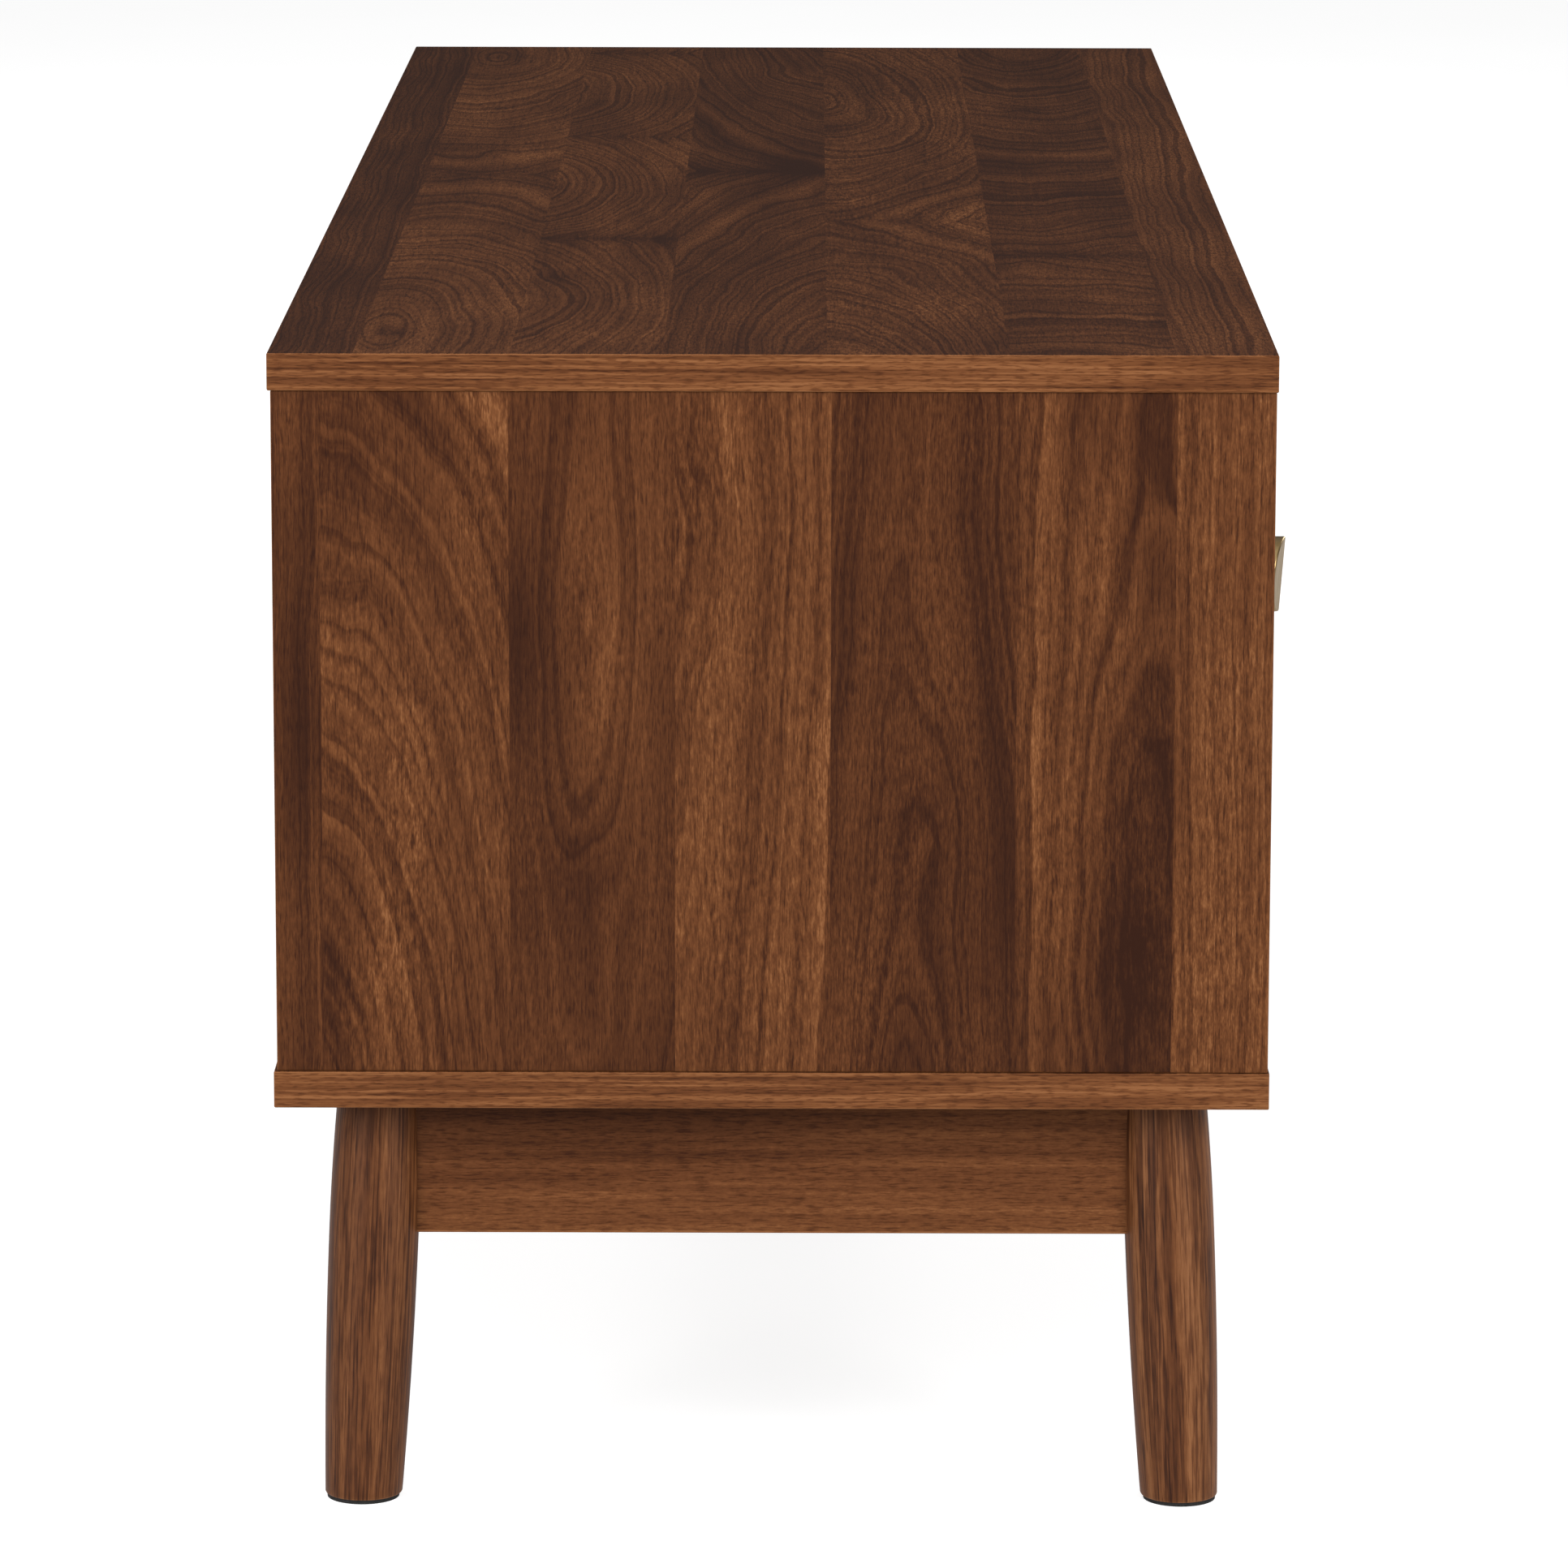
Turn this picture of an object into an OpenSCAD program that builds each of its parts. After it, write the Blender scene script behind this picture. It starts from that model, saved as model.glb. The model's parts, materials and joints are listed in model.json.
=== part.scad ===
// Low sideboard: two end doors, two stacked drawers between them, splayed round legs.
// X runs along the length, the fronts face -Y, the floor is Z = 0.

/* [Case] */
// Length of the case, end to end
case_length = 1200; // [1160:10:1260]
// Depth of the case, front edge to rear edge
case_depth = 400; // [396:2:430]
// Height of the case without its legs
case_height = 306; // [302:2:320]
// Thickness of the case boards, doors and drawer fronts
board = 15; // [15:0.5:16]
// Thickness of the back panel
back_board = 3; // [2.5:0.5:4]

/* [Legs] */
// Height of the case's underside above the floor
leg_height = 172; // [160:2:190]
// Outward lean of each leg in both directions, in degrees
leg_splay = 2.5; // [1:0.5:4]
// Radius of a leg at its top
leg_top_radius = 16.65; // [15:0.05:17]
// Radius of a leg where it is fattest
leg_belly_radius = 18.3; // [17:0.05:19]
// Radius of a leg at its foot
leg_foot_radius = 15.8; // [14.5:0.05:17]
// Height of the aprons between the legs
apron_height = 61; // [50:1:70]

/* [Fronts] */
// Gap between a front and its neighbour
front_gap = 3; // [2.5:0.5:4]
// How far a pull stands out from its front
pull_reach = 28; // [24:0.5:30]
// Radius of the half-moon pull
pull_radius = 17; // [15:0.5:19]

/* [Drawers] */
// Height of a drawer's box
box_height = 100; // [90:2:104]
// Thickness of a drawer's sides and back
box_board = 12; // [10:0.5:12]
// Length of a drawer slide
slide_length = 350; // [340:5:350]

/* [Hidden] */
$fn = 48;
eps = 0.1;

// Places of the case boards. The origin is under the middle of the whole object, pulls included.
end_reveal = 1.5;
front_reveal = 0.6;
rear_reveal = 1.3;
pull_proud = pull_reach - front_reveal;
front_y = pull_proud - (case_depth + pull_proud) / 2;
rear_y = front_y + case_depth;
mid_y = (front_y + rear_y) / 2;
face_y = front_y + front_reveal;
half = case_length / 2;
floor_z = leg_height + board;
ceiling_z = leg_height + case_height - board;
side_in = half - end_reveal - board;

// Back panel in its grooves
groove = 5;
groove_slack = 0.1;
back_y = rear_y - 8 - back_board;

// Fronts
edge_gap = 2;
top_gap = 2.5;
front_width = (2 * side_in - 2 * edge_gap - 2 * front_gap) / 3;
door_in = side_in - edge_gap - front_width;
door_bottom = floor_z + top_gap;
door_top = ceiling_z - top_gap;
drawer_front_height = (door_top - door_bottom - front_gap) / 2;
drawer_zs = [door_bottom, door_bottom + drawer_front_height + front_gap];
rear_of_fronts = face_y + board;

// Partitions and shelves
partition_x = front_width / 2 + front_gap / 2;
partition_y = rear_of_fronts + 2;
partition_out = partition_x + board / 2;
partition_in = partition_x - board / 2;
shelf_z = floor_z + 130;
shelf_front = face_y + 66;
shelf_clear = 1;
pin_radius = 2.5;
pin_hole_depth = 9;
pin_step = 32;
pin_inset = 25;
pin_out = 7;
pin_seat = 0.2;
collar = 0.6;
pin_ys = [shelf_front + pin_inset, back_y - 1 - pin_inset];

// Knock-down fittings between the upright and the level boards
dowel_radius = 4;
dowel_half = 11;
dowel_ys = [front_y + 45, front_y + 340];
cam_ys = [front_y + 92, front_y + 300];
cam_radius = 7.5;
cam_depth = 12;
cam_reach = 24;
bolt_thread = 2.5;
bolt_shank = 3.4;
bolt_hole = 3.6;
bolt_in_level = 10;
fit = 0.05;
spare = 0.5;
bolt_neck = 1.7;
bolt_neck_from = 14;
bolt_head = 2.8;
bolt_head_long = 3;
cam_mouth = 3.2;
cam_slot = [2, 10, 1.4];
upright_xs = [half - end_reveal - board / 2, partition_x];

// Legs
leg_inset = 45;
leg_x = half - leg_inset;
leg_inset_y = 40;
leg_y = case_depth / 2 - leg_inset_y;
leg_block = 40;
belly_drop = 60;
pad_height = 1.6;
pad_radius = 14.8;
foot_shift = leg_height * tan(leg_splay);
hanger_radius = 4;
hanger_down = 30;
hanger_up = 12;
insert_radius = 6;
insert_height = 13;

// Aprons and their brackets
apron = 15;
apron_past_leg = 3;
apron_joint = 0.1;
end_bracket_at = 80;
long_bracket_xs = [-360, 0, 360];
bracket_leaf = 25;
bracket_width = 20;
bracket_steel = 2;
bracket_screw_at = 15;
screw_radius = 1.9;
screw_length = 12;
screw_hole = screw_radius + 0.2;
apron_face_x = leg_x - apron / 2;
apron_face_y = leg_y - apron / 2;
BRACKETS = concat(
    [for (s = [-1, 1]) for (t = [-1, 1]) [s * apron_face_x, mid_y + end_bracket_at * t, s > 0 ? 0 : 180]],
    [for (s = [-1, 1]) for (x = long_bracket_xs) [x, mid_y + s * apron_face_y, 90 * s]]
);

// Hinges, measured from the side panel's inner face and from the door's face
cup_x = 24.5;
cup_radius = 17.5;
cup_depth = 12;
cup_wall = 0.8;
flange = 1.5;
pivot_x = 13.5;
pivot_in = 6.2;
hinge_pin_radius = 1.25;
barrel_radius = 2.2;
barrel_half = 7;
lug_height = 3;
neck_x = 28;
neck_y = 23.5;
strap = 2;
plate = 3;
plate_half = 9;
wing_half = 19;
wing_reach = 6;
plate_front = 24;
plate_rear = 62;
plate_screw_y = 37;
plate_screw_z = 14;
arm_screw_y = 52;
arm_rear = 58;
cup_screw_x = cup_x + 9.5;
cup_screw_z = 24;
hinge_zs = [door_bottom + 50, door_top - 50];

// Pulls
pull_from_edge = 20;
pull_slant = 15;
pull_lean = 4.4;
pull_screw = 2;
pull_back = 7;
pull_screw_in = 10;
locator_radius = 1.5;
locator_length = 4;
locator_drop = 9;
door_pull_x = door_in + pull_from_edge;
door_pull_z = (door_top + door_bottom) / 2;

// Magnetic catches
catch_width = 13;
catch_depth = 32;
catch_height = 24;
catch_z = door_top - 30;
catch_x = partition_out + catch_width / 2;
catch_front = rear_of_fronts + 2.4;
catch_screw_y = catch_front + 16;
catch_screw_z = 7;
catch_screw_in = 8;
strike = 2;
strike_half = [5.5, 11];
strike_screw_in = 8;

// Drawer boxes and slides
slide_width = 12.7;
box_half = partition_in - slide_width;
box_rise = 15;
box_depth = 355;
slide_front = partition_y + 1;
slide_rise = box_rise + 35;
rail_steel = 1.2;
case_rail_half = 17.5;
case_rail_deep = 8.5;
rail_lip = 1.1;
lip_steel = 0.8;
box_rail_half = 12;
box_rail_deep = 9.2;
ball_radius = 2.1;
ball_x = 6;
ball_z = 14.15;
cage_from = 130;
cage_length = 90;
cage_steel = 0.8;
cage_in = 1.6;
cage_deep = 8;
ball_step = 22;
ball_from = 12;
rail_screw_length = 9;
rail_screws = [40, 300];
base_board = 5;
base_rise = 10;
base_groove = 5;
box_dowel_radius = 3;
box_dowel_half = 9;
box_dowel_rises = [40, 90];
corner_screw_length = 30;
corner_screw_rises = [82, 104];
drawer_pull_rise = drawer_front_height / 2 + 1.5;

// Colours
walnut = [0.40, 0.25, 0.16];
walnut_light = [0.48, 0.30, 0.19];
brass = [0.72, 0.60, 0.38];
steel = [0.75, 0.76, 0.78];
dark_steel = [0.35, 0.35, 0.36];
beech = [0.80, 0.66, 0.48];
black_felt = [0.08, 0.08, 0.08];

// ---------- Building blocks ----------

// Box between two corners
module slab(low, high) {
    translate(low) cube(high - low);
}

// Rods that start at a point and run along one axis
module rod_x(start, radius, length) {
    translate(start) rotate([0, 90, 0]) cylinder(r = radius, h = length);
}

module rod_y(start, radius, length) {
    translate(start) rotate([-90, 0, 0]) cylinder(r = radius, h = length);
}

module rod_z(start, radius, length) {
    translate(start) cylinder(r = radius, h = length);
}

// The same thing on the left (-1) or the right (1)
module on_side(side) {
    if (side > 0) children();
    else mirror([1, 0, 0]) children();
}

module both_sides() {
    on_side(-1) children();
    on_side(1) children();
}

// Pan-head screw: the head sits on Z = 0 and the shank runs down
module pan_screw(length, radius) {
    head = 2 * radius;
    head_height = 1.2 * radius;
    tip = 2 * radius;
    difference() {
        rotate_extrude() polygon([
            [0, -length], [0.25 * radius, -length], [radius, tip - length], [radius, 0],
            [head, 0], [head, 0.5 * head_height], [0.7 * head, head_height], [0, head_height]
        ]);
        for (a = [0, 90])
            rotate([0, 0, a])
                translate([-0.6 * head, -0.15 * head, 0.4 * head_height])
                    cube([1.2 * head, 0.3 * head, head_height]);
    }
}

// Countersunk screw: the flat head ends at Z = 0 and the shank runs down
module flat_screw(length, radius) {
    sink = rail_steel;
    tip = 2 * radius;
    rotate_extrude() polygon([
        [0, -length], [0.25 * radius, -length], [radius, tip - length], [radius, -sink],
        [radius + sink, -0.05], [0, -0.05]
    ]);
}

// The hole in a rail for a countersunk screw, from its open face at Z = 0
module countersink() {
    translate([0, 0, -rail_steel - eps]) cylinder(r = screw_radius + fit, h = rail_steel + 2 * eps);
    translate([0, 0, -rail_steel])
        cylinder(r1 = screw_radius + fit, r2 = screw_radius + rail_steel + 2 * fit, h = rail_steel + fit);
}

// ---------- Case ----------

// Holes that a level board needs for the dowels and cam bolts, from its joint face at Z = 0
module level_drilling() {
    both_sides() for (x = upright_xs) {
        for (y = dowel_ys) rod_z([x, y, -eps], dowel_radius + fit, dowel_half + eps);
        for (y = cam_ys) rod_z([x, y, -eps], bolt_thread + fit, bolt_in_level + eps);
    }
}

// The slot that holds the back panel in a level board
module level_groove() {
    wide = side_in + groove + groove_slack;
    slab([-wide, back_y - groove_slack, -eps],
         [wide, back_y + back_board + groove_slack, groove + groove_slack]);
}

module top_panel() {
    color(walnut) difference() {
        slab([-half, front_y, ceiling_z], [half, rear_y, ceiling_z + board]);
        translate([0, 0, ceiling_z]) {
            level_drilling();
            level_groove();
        }
    }
}

module bottom_panel() {
    color(walnut) difference() {
        slab([-half, front_y, leg_height], [half, rear_y, floor_z]);
        translate([0, 0, floor_z]) mirror([0, 0, 1]) {
            level_drilling();
            level_groove();
        }
        at_legs() rod_z([0, 0, leg_height - eps], insert_radius, insert_height + eps);
        at_brackets()
            rod_z([-bracket_screw_at, 0, -eps],
                  screw_radius + fit, screw_length - bracket_steel + eps);
    }
}

// Holes that an upright board needs: dowels and bolts in its ends, cams in its face_x face
module upright_drilling(x, face_x) {
    inward = face_x > x ? -1 : 0;
    for (end = [0, 1]) {
        z_end = end == 0 ? floor_z : ceiling_z;
        way = end == 0 ? 0 : 1;
        for (y = dowel_ys)
            translate([x, y, z_end]) mirror([0, 0, way])
                rod_z([0, 0, -eps], dowel_radius + fit, dowel_half + eps);
        for (y = cam_ys) translate([0, y, z_end]) mirror([0, 0, way]) {
            rod_z([x, 0, -eps], bolt_hole, cam_reach + eps);
            rod_x([face_x + inward * cam_depth - (inward == 0 ? eps : 0), 0, cam_reach],
                  cam_radius, cam_depth + eps);
        }
    }
}

// Holes for shelf pins, drilled in the direction of +X from face_x or back from it
module pin_holes(face_x, way) {
    start = way > 0 ? face_x - eps : face_x - pin_hole_depth;
    for (y = pin_ys) for (k = [-1, 0, 1])
        rod_x([start, y, shelf_z - pin_radius + k * pin_step], pin_radius + fit, pin_hole_depth + eps);
}

module side_panel() {
    difference() {
        slab([side_in, face_y, floor_z], [side_in + board, rear_y - rear_reveal, ceiling_z]);
        upright_drilling(side_in + board / 2, side_in);
        pin_holes(side_in, 1);
        slab([side_in - eps, back_y - groove_slack, floor_z - eps],
             [side_in + groove, back_y + back_board + groove_slack, ceiling_z + eps]);
        for (z = hinge_zs) for (t = [-1, 1])
            rod_x([side_in - eps, face_y + plate_screw_y, z + t * plate_screw_z],
                  screw_radius + fit, screw_length - plate + eps);
    }
}

module left_side_panel() { color(walnut) on_side(-1) side_panel(); }
module right_side_panel() { color(walnut) on_side(1) side_panel(); }

module partition() {
    difference() {
        slab([partition_in, partition_y, floor_z], [partition_out, back_y - fit, ceiling_z]);
        upright_drilling(partition_x, partition_out);
        pin_holes(partition_out, -1);
        for (z = drawer_zs) for (y = rail_screws)
            rod_x([partition_in - eps, slide_front + y, z + slide_rise],
                  screw_radius + fit, rail_screw_length - rail_steel + eps);
        for (t = [-1, 1])
            rod_x([partition_out - catch_screw_in, catch_screw_y, catch_z + t * catch_screw_z],
                  screw_radius + fit, catch_screw_in + eps);
    }
}

module left_partition() { color(walnut) on_side(-1) partition(); }
module right_partition() { color(walnut) on_side(1) partition(); }

module back_panel() {
    wide = side_in + groove - spare;
    tall = groove - spare;
    color(walnut) slab([-wide, back_y, floor_z - tall], [wide, back_y + back_board, ceiling_z + tall]);
}

module shelf() {
    slab([partition_out + shelf_clear, shelf_front, shelf_z],
         [side_in - shelf_clear, back_y - 1, shelf_z + board]);
}

module left_shelf() { color(walnut) on_side(-1) shelf(); }
module right_shelf() { color(walnut) on_side(1) shelf(); }

// A pin with a stop collar, seated in its hole at face_x and reaching out under the shelf
module shelf_pin(face_x, way) {
    z = shelf_z - pin_radius;
    for (y = pin_ys) translate([face_x, y, z]) mirror([way > 0 ? 0 : 1, 0, 0]) {
        rod_x([pin_seat - pin_hole_depth, 0, 0], pin_radius, pin_hole_depth + pin_out - pin_seat);
        rod_x([0.02, 0, -0.1 - collar], pin_radius + collar, 1.5 * collar);
    }
}

module shelf_pins() {
    color(steel) both_sides() {
        shelf_pin(side_in, -1);
        shelf_pin(partition_out, 1);
    }
}

module case_dowels() {
    length = 2 * dowel_half - 1;
    color(beech) both_sides() for (x = upright_xs) for (y = dowel_ys) for (z = [floor_z, ceiling_z])
        rod_z([x, y, z - length / 2], dowel_radius, length);
}

// A bolt screwed into a level board, with the head that its cam pulls on
module cam_bolt() {
    collar_lift = 0.3;
    rod_z([0, 0, spare - bolt_in_level], bolt_thread, bolt_in_level);
    rod_z([0, 0, collar_lift], bolt_shank, bolt_neck_from);
    rod_z([0, 0, bolt_neck_from], bolt_neck, cam_reach - bolt_neck_from);
    rod_z([0, 0, cam_reach - bolt_head_long], bolt_head, bolt_head_long);
}

module cam_bolts() {
    color(steel) both_sides() for (x = upright_xs) for (y = cam_ys) {
        translate([x, y, floor_z]) cam_bolt();
        translate([x, y, ceiling_z]) mirror([0, 0, 1]) cam_bolt();
    }
}

// A cam with its cross slot on the open face at X = 0, the body behind it at +X
module cam_lock() {
    thick = cam_depth - 0.2;
    difference() {
        rod_x([0, 0, 0], cam_radius - fit, thick);
        translate([board / 2, 0, -cam_radius - eps]) cylinder(r = cam_mouth, h = cam_radius + 1);
        for (a = [0, 90])
            rotate([a, 0, 0])
                slab([-eps, -cam_slot.y / 2, -cam_slot.z / 2], [cam_slot.x, cam_slot.y / 2, cam_slot.z / 2]);
    }
}

module cam_locks() {
    color(dark_steel) both_sides() for (y = cam_ys) for (end = [0, 1]) {
        z = end == 0 ? floor_z + cam_reach : ceiling_z - cam_reach;
        translate([side_in, y, z]) mirror([0, 0, end]) cam_lock();
        translate([partition_out, y, z]) mirror([1, 0, 0]) mirror([0, 0, end]) cam_lock();
    }
}

// ---------- Legs and aprons ----------

// Radius of a leg at a distance below its top: one easy swell, then a longer taper
function leg_radius(drop) =
    drop < belly_drop
        ? leg_belly_radius - (leg_belly_radius - leg_top_radius) * pow(1 - drop / belly_drop, 2)
        : leg_belly_radius - (leg_belly_radius - leg_foot_radius)
            * pow((drop - belly_drop) / (leg_height - belly_drop), 2);

module leg_turning(extra = 0) {
    over = 4;
    steps = 22;
    step = (leg_height + 2 * over) / steps;
    rotate_extrude() polygon(concat(
        [[0, over], [leg_radius(0) + extra, over]],
        [for (k = [1:steps]) [leg_radius(max(0, k * step - over)) + extra, over - k * step]],
        [[0, over - steps * step]]
    ));
}

// A turning in its place, its axis leaning out from a point on the case's underside
module placed_turning(sx, sy, extra = 0) {
    translate([sx * leg_x, mid_y + sy * leg_y, leg_height])
        rotate([sy * leg_splay, -sx * leg_splay, 0]) leg_turning(extra);
}

module leg(sx, sy) {
    color(walnut_light) difference() {
        intersection() {
            placed_turning(sx, sy);
            slab([sx * leg_x - leg_block, mid_y + sy * leg_y - leg_block, pad_height],
                 [sx * leg_x + leg_block, mid_y + sy * leg_y + leg_block, leg_height]);
        }
        rod_z([sx * leg_x, mid_y + sy * leg_y, leg_height - hanger_down],
              hanger_radius + fit, hanger_down + eps);
    }
}

module front_left_leg() { leg(-1, -1); }
module front_right_leg() { leg(1, -1); }
module rear_left_leg() { leg(-1, 1); }
module rear_right_leg() { leg(1, 1); }

module at_legs() {
    for (sx = [-1, 1]) for (sy = [-1, 1]) translate([sx * leg_x, mid_y + sy * leg_y, 0]) children();
}

module foot_pads() {
    color(black_felt) for (sx = [-1, 1]) for (sy = [-1, 1])
        rod_z([sx * (leg_x + foot_shift), mid_y + sy * (leg_y + foot_shift), 0], pad_radius, pad_height);
}

module hanger_bolts() {
    color(steel) at_legs()
        rod_z([0, 0, leg_height - hanger_down + 1], hanger_radius, hanger_down + hanger_up - 1);
}

module insert_nuts() {
    color(steel) at_legs() difference() {
        rod_z([0, 0, leg_height + 0.1], insert_radius - fit, insert_height - 0.2);
        rod_z([0, 0, leg_height], hanger_radius + fit, insert_height + eps);
    }
}

// An end apron, written for the right and coped at both ends to the round of the legs
module end_apron() {
    long = leg_y - leg_top_radius + apron_past_leg;
    difference() {
        slab([leg_x - apron / 2, mid_y - long, leg_height - apron_height],
             [leg_x + apron / 2, mid_y + long, leg_height]);
        for (t = [-1, 1])
            rod_x([apron_face_x - eps, mid_y + end_bracket_at * t, leg_height - bracket_screw_at],
                  screw_radius + fit, screw_length - bracket_steel + eps);
        for (sy = [-1, 1]) placed_turning(1, sy, apron_joint);
    }
}

module left_end_apron() { color(walnut_light) on_side(-1) end_apron(); }
module right_end_apron() { color(walnut_light) on_side(1) end_apron(); }

// A long apron, written for the rear and mirrored about the middle for the front
module long_apron() {
    long = leg_x - leg_top_radius + apron_past_leg;
    difference() {
        slab([-long, leg_y - apron / 2, leg_height - apron_height],
             [long, leg_y + apron / 2, leg_height]);
        for (x = long_bracket_xs)
            rod_y([x, apron_face_y - eps, leg_height - bracket_screw_at],
                  screw_radius + fit, screw_length - bracket_steel + eps);
        for (sx = [-1, 1]) translate([0, -mid_y, 0]) placed_turning(sx, 1, apron_joint);
    }
}

module front_apron() { color(walnut_light) translate([0, mid_y, 0]) mirror([0, 1, 0]) long_apron(); }
module rear_apron() { color(walnut_light) translate([0, mid_y, 0]) long_apron(); }

// Frame at each bracket: its corner is the origin and the apron is on the +X side
module at_brackets() {
    for (b = BRACKETS) translate([b[0], b[1], leg_height]) rotate([0, 0, b[2]]) children();
}

module apron_brackets() {
    w = bracket_width / 2;
    color(steel) at_brackets() difference() {
        union() {
            slab([-bracket_steel, -w, -bracket_leaf], [0, w, 0]);
            slab([-bracket_leaf, -w, -bracket_steel], [0, w, 0]);
        }
        rod_z([-bracket_screw_at, 0, -bracket_steel - eps],
              screw_hole, bracket_steel + 2 * eps);
        rod_x([-bracket_steel - eps, 0, -bracket_screw_at],
              screw_hole, bracket_steel + 2 * eps);
    }
}

// ---------- Hinges ----------

// Frame at each hinge: X from the side panel's inner face into the case, Y from the door's face
module at_hinges(side) {
    on_side(side) for (z = hinge_zs) translate([side_in, face_y, z]) mirror([1, 0, 0]) children();
}

module hinge_plate() {
    difference() {
        union() {
            slab([0, plate_front, -plate_half], [plate, plate_rear, plate_half]);
            slab([0, plate_screw_y - wing_reach, -wing_half], [plate, plate_screw_y + wing_reach, wing_half]);
        }
        for (t = [-1, 1])
            rod_x([-eps, plate_screw_y, t * plate_screw_z], screw_hole, plate + 2 * eps);
        rod_x([-eps, arm_screw_y, 0], screw_radius + fit, plate + 2 * eps);
    }
}

module hinge_plates() { color(steel) for (side = [-1, 1]) at_hinges(side) hinge_plate(); }

// The cranked arm: barrel in the cup, strap out of the cup, neck round the door's edge, foot
module hinge_arm() {
    b = barrel_half;
    difference() {
        union() {
            rod_z([pivot_x, pivot_in, -b], barrel_radius, 2 * b);
            slab([pivot_x, pivot_in - strap / 2, -b], [neck_x, pivot_in + strap / 2, b]);
            slab([neck_x - strap, pivot_in - strap / 2, -b], [neck_x, neck_y, b]);
            slab([plate, neck_y - strap, -b], [neck_x, neck_y, b]);
            slab([plate, neck_y - strap, -b], [plate + strap, arm_rear, b]);
        }
        rod_z([pivot_x, pivot_in, -b - eps], hinge_pin_radius + 0.02, 2 * b + 2 * eps);
        rod_x([plate - eps, arm_screw_y, 0], screw_hole, strap + 2 * eps);
    }
}

module hinge_arms() { color(steel) for (side = [-1, 1]) at_hinges(side) hinge_arm(); }

module hinge_pins() {
    reach = barrel_half + lug_height - 0.3;
    color(dark_steel) for (side = [-1, 1]) at_hinges(side)
        rod_z([pivot_x, pivot_in, -reach], hinge_pin_radius, 2 * reach);
}

// A cup with a flange on the door's rear face and two lugs that carry the pin
module hinge_cup() {
    r = cup_radius - fit;
    ear = 6;
    lug_from = barrel_half + 0.3;
    difference() {
        union() {
            rod_y([cup_x, board - cup_depth + 0.1, 0], r, cup_depth);
            rod_y([cup_x, board, 0], cup_radius + 1.5, flange);
            slab([cup_screw_x - ear, board, -cup_screw_z], [cup_screw_x + ear, board + flange, cup_screw_z]);
            for (t = [-1, 1]) rod_y([cup_screw_x, board, t * cup_screw_z], ear, flange);
        }
        difference() {
            rod_y([cup_x, board - cup_depth + 0.1 + cup_wall, 0], r - cup_wall, cup_depth + flange);
            for (t = [-1, 1]) {
                low = t > 0 ? lug_from : -lug_from - lug_height - 3;
                slab([pivot_x - 8, board - cup_depth - 1, low],
                     [pivot_x + 3, pivot_in + 2.6, low + lug_height + 3]);
            }
        }
        rod_z([pivot_x, pivot_in, -lug_from - lug_height],
              hinge_pin_radius + fit, 2 * (lug_from + lug_height));
        for (t = [-1, 1])
            rod_y([cup_screw_x, board - eps, t * cup_screw_z], screw_hole, flange + 2 * eps);
    }
}

module left_hinge_cups() { color(steel) at_hinges(-1) hinge_cup(); }
module right_hinge_cups() { color(steel) at_hinges(1) hinge_cup(); }

// ---------- Doors ----------

// The door on the right; the left one is its mirror image
module door() {
    difference() {
        slab([door_in, face_y, door_bottom], [side_in - edge_gap, face_y + board, door_top]);
        for (z = hinge_zs) {
            x = side_in - cup_x;
            rod_y([x, face_y + board - cup_depth, z], cup_radius, cup_depth + eps);
            for (t = [-1, 1])
                rod_y([side_in - cup_screw_x, face_y + board - screw_length + flange, z + t * cup_screw_z],
                      screw_radius + fit, screw_length + eps);
        }
        translate([door_pull_x, face_y, door_pull_z]) pull_holes();
        rod_y([catch_x, rear_of_fronts - strike_screw_in, catch_z],
              screw_radius + fit, strike_screw_in + eps);
    }
}

module left_door() { color(walnut) on_side(-1) door(); }
module right_door() { color(walnut) on_side(1) door(); }

// Half-moon pull on a front at Y = 0: its screw is at X = 0, its straight edge on the -X side,
// its round side towards +X. The outer face slants back to the round side and leans by lean.
module half_moon_pull(lean) {
    difference() {
        intersection() {
            rod_y([-pull_back, -pull_reach, 0], pull_radius, pull_reach);
            slab([-pull_back, -pull_reach, -pull_radius], [pull_radius, 0, pull_radius]);
        }
        translate([-pull_back, -pull_reach, pull_radius])
            rotate([lean, 0, 0]) rotate([0, 0, pull_slant])
                translate([-pull_reach, -2 * pull_reach, -3 * pull_radius])
                    cube([3 * pull_reach, 2 * pull_reach, 4 * pull_radius]);
        rod_y([0, -pull_screw_in, 0], pull_screw + fit, pull_screw_in + eps);
    }
    rod_y([0, -eps, -locator_drop], locator_radius, locator_length + eps);
}

module door_pull() {
    translate([door_pull_x, face_y, door_pull_z]) half_moon_pull(pull_lean);
}

module left_door_pull() { color(brass) on_side(-1) door_pull(); }
module right_door_pull() { color(brass) on_side(1) door_pull(); }

// Holes that a front needs for its pull, in the pull's own frame
module pull_holes() {
    rod_y([0, -eps, 0], pull_screw + 0.3, board + 2 * eps);
    rod_y([0, -eps, -locator_drop], locator_radius + fit, locator_length + spare);
}

// Machine screw from behind a front into its pull, in the pull's own frame
module pull_fixing() {
    translate([0, board, 0]) rotate([-90, 0, 0]) pan_screw(board + pull_screw_in - spare, pull_screw);
}

module magnetic_catches() {
    color(dark_steel) both_sides() difference() {
        slab([partition_out, catch_front, catch_z - catch_height / 2],
             [partition_out + catch_width, catch_front + catch_depth, catch_z + catch_height / 2]);
        for (t = [-1, 1])
            rod_x([partition_out - eps, catch_screw_y, catch_z + t * catch_screw_z],
                  screw_hole, catch_width + 2 * eps);
    }
}

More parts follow.
